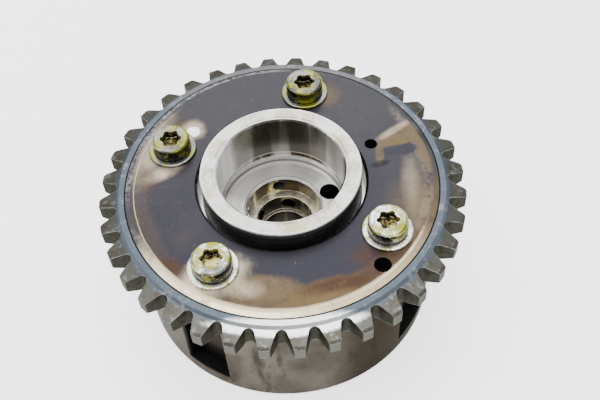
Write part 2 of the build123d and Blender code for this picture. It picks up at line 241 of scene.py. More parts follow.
# cover plate: oily, dark, with wiped and burnt patches, painted highlights and painted shade; lengths in mm
plateLook = {
    "dark": (0.027, 0.026, 0.035),
    "grey": (0.040, 0.038, 0.044),
    "tan": (0.114, 0.076, 0.034),
    "cream": (0.58, 0.485, 0.35),
    "gold": (0.125, 0.078, 0.026),
    "brown": (0.05, 0.026, 0.014),
    "black": (0.012, 0.012, 0.014),
    # the bevel: painted shade at the back, painted highlight in front
    "bevelShade": (0.10, 0.098, 0.10),
    "bevelHighlight": (0.90, 0.77, 0.54),
    "bevelBurnt": (0.26, 0.19, 0.09),
    "bevelBright": (0.42, 0.43, 0.44),
    # the bore's edge: painted shade at the back, painted highlight in front
    "boreShade": (0.02, 0.02, 0.022),
    "boreHighlight": (0.20, 0.20, 0.205),
    # painted highlight in a thin arc at the front
    "frontArcHighlight": (0.80, 0.67, 0.45),
    "boreRadius": 21.5, "bevelRadius": 37.8, "outerRadius": 39.1, "top": 40.85,
    # open holes: across, along, radius
    "ventHole": (23.29, 9.89, 1.63),
    "indexHole": (22.54, -26.77, 2.08),
    # patches: tint, across, along, half width, half height, turn, softness, roughness, strength
    "patchSoftness": 1.7,
    "patches": [
        ("tan", 30.6, 12.2, 6.4, 3.0, 34, 0.12, 0.35, 0.95),
        ("tan", 35.6, 7.5, 1.6, 7.2, 14, 0.2, 0.5, 0.9),
        ("tan", 25.3, 7.0, 1.1, 4.0, -6, 0.2, 0.3, 0.75),
        ("black", 25.0, 3.2, 2.6, 0.9, 14, 0.2, 0.5, 0.8),
        ("cream", 32.0, -4.8, 1.4, 6.0, -4, 0.9, 0.5, 0.42),
        ("tan", 33.0, -9.0, 2.6, 7.5, -10, 0.7, 0.6, 0.55),
        ("brown", 33.5, -19.0, 2.4, 6.5, -32, 0.5, 0.6, 0.8),
        ("brown", 29.0, -24.5, 3.6, 2.0, 45, 0.5, 0.7, 0.6),
        ("brown", 24.0, -26.0, 8.5, 4.6, 42, 0.35, 0.5, 0.6),
        ("brown", 18.5, -23.5, 3.0, 2.2, 20, 0.5, 0.6, 0.7),
        ("brown", 30.5, -23.0, 2.5, 1.2, 45, 0.4, 0.6, 0.6),
        ("tan", -6.0, -31.2, 9.5, 3.4, -6, 0.18, 0.35, 0.95),
        ("gold", 9.0, -33.0, 10.0, 3.0, 12, 0.25, 0.5, 0.9),
        ("brown", 11.5, -31.3, 8.5, 1.9, 10, 0.3, 0.5, 0.95),
        ("brown", 19.0, -29.5, 4.5, 1.6, 34, 0.4, 0.7, 0.8),
        ("tan", 28.6, -9.0, 2.4, 4.6, 0, 0.6, 0.6, 0.4),
        ("cream", -10.0, -31.0, 3.6, 2.0, -10, 0.5, 0.5, 0.5),
        ("cream", -17.5, -27.5, 7.8, 4.6, 24, 0.3, 0.45, 1.0),
        ("brown", -26.6, -24.4, 3.4, 2.4, -40, 0.35, 0.6, 0.9),
        ("tan", -24.2, -16.0, 1.8, 2.0, 10, 0.9, 2.6, 0.14),
        ("cream", -32.6, 12.0, 3.2, 9.0, -16, 0.5, 0.5, 0.5),
        ("cream", -30.0, 4.2, 4.6, 1.7, 28, 0.4, 0.4, 0.75),
        ("brown", -33.6, 2.6, 2.4, 3.4, 10, 0.4, 0.6, 0.65),
        ("brown", -27.0, 20.4, 3.0, 1.4, 20, 0.4, 0.6, 0.6),
        ("cream", -22.6, 18.2, 2.6, 2.6, 0, 0.4, 0.4, 0.7),
        ("tan", 13.2, 27.6, 2.6, 3.2, -20, 0.5, 0.5, 0.65),
    ],
    # over the upper right patch: a dark island, a burnt stroke and a pale edge, from across to roughness
    "island": (30.5, 7.6, 4.6, 2.0, 4, 0.15, 0.3),
    "stroke": (31.0, 9.9, 3.8, 0.7, 14, 0.5, 0.5),
    "paleEdge": (29.6, 14.1, 5.4, 0.9, 34, 0.6, 0.5),
}


def makePlateFinish():
    look = plateLook
    f = Finish("oiledPlateSteel", {"IOR": 1.5})
    warp = f.noise(0.26, 8, 0.68)
    fine = f.noise(0.9, 5, 0.65, shift=3.0)
    cloud = f.noise(0.07, 3, 0.5, shift=7.0)
    rimNoise = f.noise(0.16, 4, 0.6, shift=11.0)
    torn = ease(f.noise(0.45, 6, 0.7, shift=29.0), 0.25, 0.62)
    paler = ease(f.y * 0.014 + cloud + (fine - 0.5) * 0.25, 0.15, 0.95)
    f.colour = mix(paler, look["dark"], look["grey"])

    def lay(mask, tint, strength, wiped):
        # paints a torn patch, and returns where the oil is wiped off
        mask = mask * ((0.5 + torn * 0.6) * strength)
        f.paint(mask, look[tint])
        if tint in ("brown", "black"):
            return wiped * (1 - mask)
        return wiped.larger(mask) if wiped else mask

    # bands that follow the rim
    outer = band(f.radius + (fine - 0.5) * 1.2, 36.0, 37.6, 0.4)
    lower = ease(f.y, -2.0, -12.0) * ease(f.x + (warp - 0.5) * 12, -22.0, -12.0)
    near = lower.larger(ease(f.x, -24.0, -33.0) * 0.35)
    wiped = lay(band(f.radius + (warp - 0.5) * 4, 33.2, 38.0, 1.2) * near, "gold", 0.5, None)
    wiped = lay(outer * near * ease(rimNoise, 0.42, 0.62), "tan", 0.7, wiped)
    # worn speckle along the right of the rim
    speckle = band(f.radius + (warp - 0.5) * 3, 35.2, 37.6, 0.8) * ease(f.x, 28.0, 33.0)
    wiped = lay(speckle * ease(fine + cloud, 0.85, 1.2), "cream", 0.22, wiped)
    # patches, then what lies over the upper right one
    for tint, across, along, width, height, turn, soft, rough, strength in look["patches"]:
        mask = stain(f, warp, across, along, width, height, turn, soft * look["patchSoftness"], rough)
        wiped = lay(mask, tint, strength, wiped)
    f.paint(stain(f, warp, *look["island"]), look["dark"])
    wiped = lay(stain(f, warp, *look["stroke"]), "gold", 0.85, wiped)
    wiped = lay(stain(f, warp, *look["paleEdge"]), "cream", 0.42, wiped)
    # bevel round the rim: painted highlight in front, painted shade at the back, burnt front right, bright
    # specks back left
    bevel = ease(f.radius, look["bevelRadius"] - 0.15, look["bevelRadius"] + 0.15)
    front = ease(f.y + (warp - 0.5) * 24, -12.0, -27.0)
    burnt = ease(f.x - f.y + (warp - 0.5) * 20, 34.0, 48.0) * 0.7
    bevelTint = mix(front, look["bevelShade"], look["bevelHighlight"])
    bevelTint = mix(burnt, bevelTint, look["bevelBurnt"])
    bevelTint = mix(ease(f.y - f.x, 30.0, 44.0) * ease(fine, 0.4, 0.6), bevelTint, look["bevelBright"])
    f.paint(bevel * ease(rimNoise, 0.2, 0.5), bevelTint)
    # edge of the bore: painted highlight in front, painted shade at the back
    boreHighlight = ease(f.y * 0.6 + f.x * 0.3 + (fine - 0.5) * 30, 0.0, -12.0)
    boreTint = mix(boreHighlight, look["boreShade"], look["boreHighlight"])
    f.paint(ease(f.radius, look["boreRadius"] + 0.12, look["boreRadius"]), boreTint)
    # painted shade on the walls in the open holes
    (ventX, ventY, ventRadius), (indexX, indexY, indexRadius) = look["ventHole"], look["indexHole"]
    holes = ease(f.distance(ventX, ventY), ventRadius + 0.12, ventRadius)
    holes = holes.larger(ease(f.distance(indexX, indexY), indexRadius + 0.12, indexRadius))
    f.paint(holes * ease(f.z, look["top"] - 0.01, look["top"] - 0.15), look["black"])
    # painted highlights: thin bright arcs just inside the bevel
    arc = band(f.radius + (rimNoise - 0.5) * 0.5, 36.75, 36.95, 0.12) * ease(f.x + f.y, 4.0, -16.0)
    f.paint(arc * 0.7, look["cream"])
    frontArcHighlight = band(f.radius + (rimNoise - 0.5) * 0.4, 37.05, look["bevelRadius"], 0.12) * front
    f.paint(frontArcHighlight * 0.7, look["frontArcHighlight"])
    # scratches, fine mottling, and the dark line where the plate meets the sprocket
    scratchPlace = f.vector(f.x * 0.15 + f.y * 0.9, f.x * 3.2, f.z)
    f.paint(ease(f.noise(0.7, 3, 0.6, place=scratchPlace), 0.66, 0.72) * 0.10, look["cream"])
    mottle = f.noise(0.55, 6, 0.75, shift=15.0)
    f.paint(ease(mottle, 0.5, 0.85) * 0.55, look["black"])
    f.paint(ease(mottle, 0.42, 0.2) * 0.12, look["cream"])
    f.paint(ease(f.radius, look["outerRadius"] - 0.15, look["outerRadius"]), look["black"])
    f.feed("Metallic", 0.8 - wiped * 0.35)
    return f.close(0.26 + fine * 0.12 + wiped * 0.10 + bevel * 0.05, 0.12, fine + cloud * 2, 0.02)


# sprocket: blue-grey flat, warm grey relief, painted shade on the walls, a painted reflection at the front;
# lengths in mm
sprocketLook = {
    "sheen": {"Metallic": 0.9, "Specular IOR Level": 0.15, "Specular Tint": (0.40, 0.40, 0.38, 1)},
    "flat": (0.096, 0.118, 0.144),
    "flatBack": (0.130, 0.136, 0.142),
    "relief": (0.100, 0.098, 0.087),
    "rust": (0.078, 0.070, 0.052),
    # painted shade on the walls of the teeth, paler at their tips
    "wall": (0.044, 0.0435, 0.036),
    "tip": (0.14, 0.138, 0.125),
    "stain": (0.12, 0.095, 0.06),
    "worn": (0.42, 0.44, 0.45),
    # bright edges: partly edge wear, partly painted highlight
    "glint": (0.80, 0.82, 0.84),
    # painted reflection at the front
    "frontReflectionWhite": (0.95, 0.96, 0.97),
    "seam": (0.01, 0.01, 0.012),
    "seamRadius": 39.4, "seamHeight": 40.0, "gapRadius": 41.0, "rootRadius": 41.49,
    "frontReflectionRadius": 42.6, "tipRadius": 46.0,
}


def makeSprocketFinish():
    look = sprocketLook
    seam, gap, root, tip = look["seamRadius"], look["gapRadius"], look["rootRadius"], look["tipRadius"]
    f = Finish("hardenedSprocketSteel", look["sheen"])
    cloud = f.noise(0.12, 4, 0.6)
    fine = f.noise(1.1, 5, 0.65, shift=2.0)
    up = f.facing()
    f.colour = mix(ease(cloud, 0.3, 0.7), look["flat"], dimmed(look["flat"], 0.82))
    f.paint(ease(f.y, 22.0, 38.0), look["flatBack"])
    # relief outside the root circle, then painted shade on the walls of the teeth, paler at their tips
    outward = ease(f.radius + (fine - 0.5) * 0.8, root - 0.3, root + 1.2)
    rusty = ease(f.noise(0.2, 4, 0.6, shift=19.0), 0.45, 0.65)
    f.paint(outward, mix(rusty, look["relief"], look["rust"]))
    walls = ease(up, 0.55, 0.25)
    wallShadeTint = mix(ease(fine, 0.35, 0.7), look["wall"], dimmed(look["wall"], 0.55))
    f.paint(walls * ease(f.radius, gap - 0.5, gap), wallShadeTint)
    f.paint(ease(f.radius, tip - 0.3, tip) * walls * 0.7, look["tip"])
    # stains, wear, and bright edges that are partly edge wear and partly painted highlight
    f.paint(ease(f.noise(0.35, 4, 0.7, shift=9.0), 0.6, 0.72) * 0.35, look["stain"])
    worn = ease(f.noise(0.5, 5, 0.7, shift=13.0), 0.52, 0.66) * ease(up, 0.3, 0.6)
    f.paint(worn * 0.32, look["worn"])
    glints = f.edges(0.3) * ease(fine + cloud, 0.8, 1.15) * ease(f.radius, gap, gap + 0.6)
    f.paint(glints * 0.5, look["glint"])
    # painted reflection: a white stretch at the front, on the flat and the relief behind the teeth
    away = f.x.maths("ABSOLUTE", f.x) + (cloud - 0.5) * 14
    frontReflection = ease(f.y + (fine - 0.5) * 1.2, -37.6, -39.4) * ease(away, 26.0, 12.0) * ease(up, 0.5, 0.8)
    frontReflectionEnd = ease(f.radius + (fine - 0.5) * 1.5, look["frontReflectionRadius"] + 1.0, look["frontReflectionRadius"])
    f.paint(frontReflection * frontReflectionEnd * 0.95, look["frontReflectionWhite"])
    # dark seam where the plate lies in the ring
    level = ease(f.z, look["seamHeight"] - 0.2, look["seamHeight"] + 0.2)
    f.paint(ease(f.radius, seam + 0.1, seam - 0.1) * level, look["seam"])
    return f.close(0.33 + fine * 0.14 + walls * 0.08, 0.28, fine, 0.02)


# housing and front cover: satin sintered steel with oil smears, painted shade on the right side and in the
# pockets; lengths in mm
housingLook = {
    "sheen": {"Metallic": 0.85, "Specular IOR Level": 0.15, "Specular Tint": (0.45, 0.43, 0.40, 1)},
    "steel": (0.054, 0.049, 0.042),
    "pale": (0.112, 0.103, 0.090),
    # oil smears, and painted shade on the right side
    "smearAndShade": (0.020, 0.017, 0.013),
    "brown": (0.010, 0.006, 0.0035),
    # painted shade in the pockets
    "pocket": (0.022, 0.021, 0.022),
    "pocketDust": (0.10, 0.09, 0.08),
    "pocketRadius": 35.0, "bodyRadius": 39.09, "coverTop": 4.75, "pocketRoughness": 0.22,
}


def makeHousingFinish(name, cover):
    look = housingLook
    body, pocket, top = look["bodyRadius"], look["pocketRadius"], look["coverTop"]
    f = Finish(name, look["sheen"])
    cloud = f.noise(0.06, 4, 0.55)
    fine = f.noise(1.4, 5, 0.7, shift=5.0)
    f.colour = mix(ease(cloud, 0.35, 0.65), look["steel"], look["pale"])
    # upright oil smears, grain, painted shade on the right side and dark spots
    streaks = f.noise(0.22, 5, 0.65, place=f.vector(f.x, f.y, f.z * 0.25), shift=1.0)
    f.paint(ease(streaks, 0.5, 0.68) * 0.8, look["smearAndShade"])
    f.paint(ease(f.noise(0.9, 6, 0.75, shift=23.0), 0.56, 0.7) * 0.5, look["brown"])
    f.paint(ease(f.x + (cloud - 0.5) * 24, 6.0, 20.0) * 0.85, dimmed(look["smearAndShade"], 0.6))
    f.paint(ease(f.noise(0.45, 3, 0.5, shift=4.0), 0.66, 0.74) * 0.6, look["brown"])
    # pockets in painted shade: their floor on the cover, their walls on the housing, away from the chambers
    outside = ease(f.radius, pocket - 1.5, pocket)
    roughness = 0.36 + fine * 0.14
    if cover:
        floor = ease(f.z, top - 0.2, top) * ease(f.radius, body - 0.1, body - 0.5) * outside
        f.paint(floor, look["pocket"])
    else:
        walls = ease(f.radius, body - 0.5, body - 1.1) * outside
        f.paint(walls, mix(ease(fine, 0.5, 0.8) * 0.4, look["pocket"], look["pocketDust"]))
        roughness = blend(walls, roughness, look["pocketRoughness"])
    return f.close(roughness, 0.2, fine, 0.03)


# rotor: turned steel; collar in painted shade outside, cup with painted light and shade, bores golden with
# oil; lengths in mm
rotorLook = {
    "steel": (0.60, 0.59, 0.565),
    "bright": (0.86, 0.86, 0.85),
    "shadow": (0.10, 0.09, 0.075),
    # painted shade in the dowel hole
    "black": (0.012, 0.012, 0.014),
    # cup wall: painted shade and painted light
    "wallPaintedShade": (0.13, 0.120, 0.105),
    "wallPaintedLight": (0.97, 0.96, 0.94),
    # cup floor: painted reflection
    "floorDim": (0.66, 0.65, 0.62),
    "floorLit": (0.98, 0.98, 0.97),
    "oil": (0.065, 0.045, 0.014),
    "boreGold": (0.62, 0.54, 0.27),
    # painted shade deep in the bores
    "boreDepthShade": (0.02, 0.016, 0.01),
    "ledge": (0.50, 0.48, 0.40),
    "shelf": (0.86, 0.82, 0.66),
    "mouth": (0.95, 0.95, 0.92),
    "rim": (0.66, 0.655, 0.635),
    "rimStain": (0.46, 0.40, 0.24),
    "rimGrey": (0.26, 0.26, 0.25),
    "rimShade": (0.16, 0.15, 0.14),
    # painted highlights along the rim's edges
    "rimEdgeHighlight": (0.95, 0.95, 0.94),
    # painted shade on the collar's outside, with painted light towards its upper edge
    "collar": (0.09, 0.09, 0.095),
    "collarCloud": (0.17, 0.165, 0.16),
    "collarTopLight": (0.34, 0.33, 0.31),
    "collarRadius": 20.0, "collarTop": 45.4, "cupRadius": 15.85, "cupFloor": 29.35,
    "grooveBottom": 31.2, "grooveTop": 32.75,
    "seatRadius": 9.5, "seatFloor": 24.1, "stepRadius": 7.1, "stepFloor": 19.15,
    "dowelPlace": (12.164, 4.141), "dowelRadius": 2.6, "dowelBottom": 21.7,
}


def makeRotorFinish():
    look = rotorLook
    collar, collarTop = look["collarRadius"], look["collarTop"]
    cup, cupFloor = look["cupRadius"], look["cupFloor"]
    grooveBottom, grooveTop = look["grooveBottom"], look["grooveTop"]
    seat, seatFloor, stepFloor = look["seatRadius"], look["seatFloor"], look["stepFloor"]
    f = Finish("turnedRotorSteel", {})
    cloud = f.noise(0.16, 4, 0.6)
    fine = f.noise(1.3, 5, 0.65, shift=6.0)
    # turning marks: rings on flat faces, and upright streaks: oil smears in the groove, painted highlights on
    # the cup's wall
    rings = f.noise(1.0, 3, 0.6, place=f.vector(f.radius * 5, 0.0, f.z * 0.2), shift=2.0)
    smearsAndHighlights = f.noise(0.45, 3, 0.5, place=f.vector(f.x * 0.5, f.y * 0.5, f.z * 0.03), shift=8.0)
    f.colour = mix(ease(rings, 0.35, 0.7), look["steel"], look["bright"])
    # cup wall: painted light on the left and in a narrow strip on the right, painted shade elsewhere
    wall = band(f.radius, cup - 0.15, cup + 0.5, 0.05) * ease(f.z, grooveTop - 0.25, grooveTop + 0.05)
    turn = f.angle + (smearsAndHighlights - 0.5) * 60
    lit = band(turn, -200.0, -150.0, 14).larger(band(turn, 150.0, 215.0, 14))
    lit = lit.larger(band(turn, 18.0, 26.0, 8) * 0.5)
    f.paint(wall, mix(lit * 0.8 + ease(smearsAndHighlights, 0.45, 0.60) * 0.3, look["wallPaintedShade"], look["wallPaintedLight"]))
    # groove above the floor, and its two lips
    groove = band(f.z, grooveBottom, grooveTop, 0.08) * band(f.radius, cup - 0.15, cup + 0.55, 0.05)
    f.paint(groove, mix(ease(smearsAndHighlights, 0.4, 0.6), look["oil"], look["steel"]))
    lips = band(f.z, grooveBottom - 0.2, grooveBottom, 0.06) + band(f.z, grooveTop, grooveTop + 0.2, 0.06)
    f.paint(lips * band(f.radius, cup - 0.25, cup + 0.25, 0.05) * 0.8, look["bright"])
    # cup floor: painted reflection in fans round the axis, and painted shade in dark rings along its inner
    # and outer edge
    fanPlace = f.vector(f.x / f.radius * 1.1, f.y / f.radius * 1.1, f.radius * 0.05)
    fans = f.noise(1.0, 2, 0.5, place=fanPlace, shift=27.0)
    turned = band(f.z, cupFloor - 0.1, cupFloor + 0.1, 0.05) * ease(f.radius, seat - 0.1, seat + 0.1)
    floorReflection = ease(fans + (rings - 0.5) * 0.6 - f.y * 0.008, 0.36, 0.60)
    f.paint(turned * 0.95, mix(floorReflection, look["floorDim"], look["floorLit"]))
    f.paint(turned * band(f.radius, seat + 0.55, seat + 0.85, 0.08) * 0.75, look["shadow"])
    f.paint(turned * ease(f.radius, cup - 0.55, cup - 0.25) * 0.8, look["shadow"])
    # centre bores: streaks of oil under painted shade that deepens with depth, then ledges, the seat's face
    # and the mouth
    bores = ease(f.radius, seat + 0.12, seat) * ease(f.z, cupFloor - 0.05, cupFloor - 0.65)
    streaks = f.noise(0.6, 3, 0.5, place=f.vector(f.x * 0.7, f.y * 0.7, f.z * 0.06), shift=31.0)
    boreTint = mix(ease(streaks, 0.5, 0.62), look["oil"], look["boreGold"])
    boreTint = mix(ease(f.z + (cloud - 0.5) * 3, 27.0, 19.0) * 0.9, boreTint, look["boreDepthShade"])
    f.paint(bores, boreTint)
    ledges = band(f.z, seatFloor - 0.1, seatFloor + 0.05, 0.05)
    ledges = ledges + band(f.z, stepFloor - 0.1, stepFloor + 0.05, 0.05)
    f.paint(ledges * bores, look["ledge"])
    shelf = band(f.radius, look["stepRadius"] + 0.3, seat, 0.1)
    shelf = shelf * band(f.z, seatFloor - 0.2, seatFloor + 0.1, 0.05)
    f.paint(shelf * ease(streaks, 0.35, 0.55), look["shelf"])
    mouth = band(f.z, cupFloor - 0.6, cupFloor - 0.05, 0.05) * band(f.radius, seat, seat + 0.6, 0.05)
    f.paint(mouth, look["mouth"])
    # rim with yellowed and greyed patches and patches of painted shade, between two edges with painted
    # highlights
    rim = ease(f.z, collarTop - 0.1, collarTop - 0.05)
    yellowed = ease(cloud + (fine - 0.5) * 0.35, 0.44, 0.62)
    greyed = ease(f.noise(0.3, 5, 0.7, shift=17.0), 0.5, 0.7)
    shaded = band(f.radius, cup + 0.65, cup + 1.15, 0.15) * ease(cloud, 0.4, 0.6)
    rimTint = mix(yellowed * 0.85, look["rim"], look["rimStain"])
    rimTint = mix(greyed * 0.5, rimTint, look["rimGrey"])
    rimTint = mix(shaded * 0.6, rimTint, look["rimShade"])
    rimTint = mix(ease(f.radius, collar - 0.65, collar - 0.3) * 0.7, rimTint, look["rimEdgeHighlight"])
    rimTint = mix(ease(f.radius, cup + 0.6, cup + 0.45), rimTint, look["rimEdgeHighlight"])
    f.paint(rim, rimTint)
    # painted shade: the outside of the collar black, paler with painted light towards its upper edge
    outside = band(f.radius, collar - 0.1, collar + 0.3, 0.03) * ease(f.z, collarTop - 0.25, collarTop - 0.6)
    collarTint = mix(ease(cloud, 0.45, 0.65) * 0.5, look["collar"], look["collarCloud"])
    upper = ease(f.z + (cloud - 0.5) * 0.8, collarTop - 2.0, collarTop - 0.3)
    f.paint(outside, mix(upper, collarTint, look["collarTopLight"]))
    # painted shade in the dowel hole
    dowelHole = ease(f.distance(*look["dowelPlace"]), look["dowelRadius"] + 0.15, look["dowelRadius"])
    f.paint(dowelHole * band(f.z, look["dowelBottom"], cupFloor - 0.08, 0.08), look["black"])
    f.feed("Metallic", 0.95 - wall * lit * 0.8 - turned * (0.35 + floorReflection * 0.35))
    return f.close(0.17 + cloud * 0.10 + rim * 0.08 + bores * 0.05, 0.1, cloud * 2 + rings * 0.05, 0.01)


# bolts and washers: worn zinc with yellow-green tints, painted shade and painted highlights; lengths in mm
zincLook = {
    "silver": (0.88, 0.88, 0.83),
    # painted shade
    "shade": (0.085, 0.082, 0.072),
    "tint": (0.28, 0.29, 0.012),
    # painted shade on the head's side and round its foot
    "side": (0.010, 0.0098, 0.0075),
    # painted shade in the socket, with golden painted highlights
    "socket": (0.025, 0.02, 0.01),
    "socketGoldHighlight": (0.60, 0.52, 0.20),
    "glint": (0.88, 0.88, 0.84),
    "headTop": 45.4, "headRadius": 4.8, "socketFloor": 42.9, "socketRadius": 2.85,
}


def makeZincFinish(name, washers):
    look = zincLook
    top, head = look["headTop"], look["headRadius"]
    socketFloor, socketRadius = look["socketFloor"], look["socketRadius"]
    f = Finish(name, {"Metallic": 0.95})
    cloud = f.noise(0.3, 4, 0.6, shift=1.5)
    fine = f.noise(1.8, 5, 0.65, shift=4.0)
    # distance to the axis of the nearest bolt
    reach = f.distance(*boltPlaces[0])
    for place in boltPlaces[1:]:
        reach = reach.smaller(f.distance(*place))
    # painted shade in clouds and towards the back left, then the tint
    tinted = ease(cloud + (fine - 0.5) * 0.3, 0.48, 0.58)
    shaded = ease(f.noise(0.22, 3, 0.5, shift=21.0) + (fine - 0.5) * 0.2, 0.42, 0.62)
    f.colour = mix(shaded * (0.6 if washers else 0.9), look["silver"], look["shade"])
    f.paint(ease(f.y - f.x * 0.4, 4.0, 20.0) * 0.75, look["shade"])
    f.paint(tinted * 0.85, look["tint"])
    if washers:
        # shadow round the foot of the head
        f.paint(ease(reach, head + 0.25, head) * 0.85, look["side"])
    else:
        # painted shade on the side of the head; socket in painted shade, with golden painted highlights on
        # its walls and floor
        sides = ease(reach, head - 0.45, head - 0.2) * ease(f.z, top - 0.25, top - 0.6)
        f.paint(sides * ease(tinted, 1.0, 0.2), look["side"])
        inside = ease(f.z, top - 0.12, top - 0.3) * ease(reach, socketRadius + 0.15, socketRadius)
        depth = ease(f.z, top - 0.2, socketFloor + 0.5)
        socketTint = mix(ease(fine + cloud - depth * 0.4, 0.75, 1.0), look["socket"], look["socketGoldHighlight"])
        floorTint = mix(ease(cloud + (fine - 0.5) * 0.5, 0.42, 0.6), look["socket"], look["socketGoldHighlight"])
        socketTint = mix(ease(f.z, socketFloor + 0.15, socketFloor + 0.05), socketTint, floorTint)
        f.paint(inside, socketTint)
    # painted highlights along the edges
    f.paint(f.edges(0.22) * ease(cloud + fine, 0.8, 1.05) * 0.8, look["glint"])
    return f.close(0.20 + fine * 0.16, 0.15, fine, 0.015)


# small and hidden pieces: grain in cells per mm, relief in mm
plainLooks = {
    "groundPinSteel": {
        "low": (0.62, 0.62, 0.60), "high": (0.86, 0.86, 0.85),
        "metallic": 1.0, "roughness": 0.2, "grain": 0.8, "relief": 0.006,
    },
    "drawnSpringSteel": {
        "low": (0.40, 0.40, 0.42), "high": (0.62, 0.62, 0.64),
        "metallic": 1.0, "roughness": 0.3, "grain": 2.0, "relief": 0.008,
    },
    "filledSealPlastic": {
        "low": (0.030, 0.028, 0.026), "high": (0.055, 0.052, 0.048),
        "metallic": 0.0, "roughness": 0.5, "grain": 1.2, "relief": 0.01,
    },
}


def makePlainFinish(name):
    # grain along the length, and a little wear
    look = plainLooks[name]
    f = Finish(name, {"Metallic": look["metallic"]})
    streaks = f.noise(look["grain"], 4, 0.6, place=f.vector(f.x, f.y, f.z * 0.12))
    fine = f.noise(look["grain"] * 3, 4, 0.6, shift=3.0)
    f.colour = mix(ease(streaks, 0.3, 0.7), look["low"], look["high"])
    return f.close(look["roughness"] + (fine - 0.5) * 0.12, 0.08, fine, look["relief"])


def dress(material, *names):
    # a name that ends in _ stands for its numbered nodes
    for name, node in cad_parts.items():
        if name.rstrip("0123456789") in names:
            node.data.materials.clear()
            node.data.materials.append(material)


dress(makePlateFinish(), "cam_cover_plate")
dress(makeSprocketFinish(), "sprocket_ring")
dress(makeHousingFinish("satinHousingSteel", cover=False), "stator_housing")
dress(makeHousingFinish("satinCoverSteel", cover=True), "front_cover")
dress(makeRotorFinish(), "rotor")
dress(makeZincFinish("wornBoltZinc", washers=False), "cover_bolt_")
dress(makeZincFinish("wornWasherZinc", washers=True), "bolt_washer_")
dress(makePlainFinish("groundPinSteel"), "lock_pin", "cover_dowel", "lock_spring_seat")
dress(makePlainFinish("drawnSpringSteel"), "lock_pin_spring", "vane_seal_spring_", "lobe_seal_spring_")
dress(makePlainFinish("filledSealPlastic"), "vane_tip_seal_", "lobe_seal_")
print("finishes made:", len(bpy.data.materials))


def openMesh(piece, kind, test):
    # edit mode, with only the items that pass the test selected
    if piece.mode != "OBJECT":
        bpy.ops.object.mode_set(mode="OBJECT")
    mesh = piece.data
    for group in (mesh.vertices, mesh.edges, mesh.polygons):
        group.foreach_set("select", [False] * len(group))
    kinds = ("vertices", "edges", "polygons")
    bpy.context.tool_settings.mesh_select_mode = [kind == each for each in kinds]
    for item in getattr(mesh, kind):
        item.select = test(item)
    bpy.ops.object.mode_set(mode="EDIT")


def closeMesh():
    bpy.ops.object.mode_set(mode="OBJECT")


def chooseOnly(piece):
    bpy.ops.object.select_all(action="DESELECT")
    piece.select_set(True)
    bpy.context.view_layer.objects.active = piece


def startPiece(name, add, **settings):
    bpy.ops.object.select_all(action="DESELECT")
    add(**settings)
    piece = bpy.context.active_object
    piece.name = name
    bpy.ops.object.transform_apply(location=True, rotation=True, scale=True)
    return piece


def startRound(name, sides, radius, low, high, across=0.0, along=0.0):
    # an upright cylinder between two heights, in mm
    location = (across * mm, along * mm, (low + high) / 2 * mm)
    return startPiece(name, bpy.ops.mesh.primitive_cylinder_add, vertices=sides, radius=radius * mm,
                      depth=(high - low) * mm, location=location)


def applyModifier(piece, kind, **settings):
    modifier = piece.modifiers.new(kind.title(), kind)
    for name, value in settings.items():
        setattr(modifier, name, value)
    bpy.context.view_layer.objects.active = piece
    bpy.ops.object.modifier_apply(modifier=modifier.name)


def bevelRing(piece, height, nearest, farthest, rounding, segments):
    # rounds the edges that lie at a height between two radii, in mm
    def onRing(edge):
        ends = [piece.data.vertices[i].co / mm for i in edge.vertices]
        level = all(abs(end.z - height) < 0.002 for end in ends)
        return level and all(nearest < end.xy.length < farthest for end in ends)

    openMesh(piece, "edges", onRing)
    bpy.ops.mesh.bevel(offset=rounding * mm, segments=segments, profile=0.5)
    closeMesh()


def faceOutwards(piece):
    openMesh(piece, "polygons", lambda face: True)
    bpy.ops.mesh.normals_make_consistent(inside=False)
    closeMesh()


def shiftMesh(piece, shift):
    openMesh(piece, "vertices", lambda vertex: True)
    bpy.ops.transform.translate(value=shift)
    closeMesh()


# faces that meet at a smaller angle than this, in degrees, are shaded as one
smoothAngle = 35


def smoothPiece(piece):
    chooseOnly(piece)
    bpy.ops.object.shade_smooth_by_angle(angle=math.radians(smoothAngle))


def placeCopy(source, name, shift):
    # a copy with its own mesh, moved inside that mesh
    piece = source.copy()
    piece.data = source.data.copy()
    piece.name = name
    bpy.context.scene.collection.objects.link(piece)
    chooseOnly(piece)
    shiftMesh(piece, shift)
    return piece


def standFor(piece, node, body, finish):
    piece.data.materials.clear()
    piece.data.materials.append(bpy.data.materials[finish])
    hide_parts(node)
    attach(piece, body)


# bolts: rounded head, dished crown, six-lobe socket, shank; lengths in mm
boltShape = {
    "sides": 96, "headRadius": 4.8, "headBottom": 41.6, "headTop": 45.4,
    "headRounding": 0.8, "headSegments": 6, "footRounding": 0.2, "footSegments": 2,
    "crownRadius": 3.35, "crownStep": 0.12, "crownDrop": 0.12,
    "socketDepth": 2.5, "cutterAbove": 2, "coreRadius": 2.2, "coreSides": 48,
    "lobes": 6, "lobeCircle": 2.0, "lobeRadius": 0.72, "lobeSides": 24,
    "mouthReach": 2.9, "mouthRounding": 0.1, "mouthSegments": 2,
    "shankRadius": 2.95, "shankEnd": 0.8, "tipLength": 0.6,
}


def cutSocket(bolt):
    # the cutter is a core joined with its lobes, and stands out above the head
    b = boltShape
    low, high = b["headTop"] - b["socketDepth"], b["headTop"] + b["cutterAbove"]
    cutter = startRound("socketCutter", b["coreSides"], b["coreRadius"], low, high)
    for number in range(b["lobes"]):
        place = polar(b["lobeCircle"], 360 / b["lobes"] * number)
        lobe = startRound("lobe", b["lobeSides"], b["lobeRadius"], low, high, *place)
        applyModifier(cutter, "BOOLEAN", operation="UNION", object=lobe)
        bpy.data.objects.remove(lobe)
    applyModifier(bolt, "BOOLEAN", operation="DIFFERENCE", object=cutter)
    bpy.data.objects.remove(cutter)


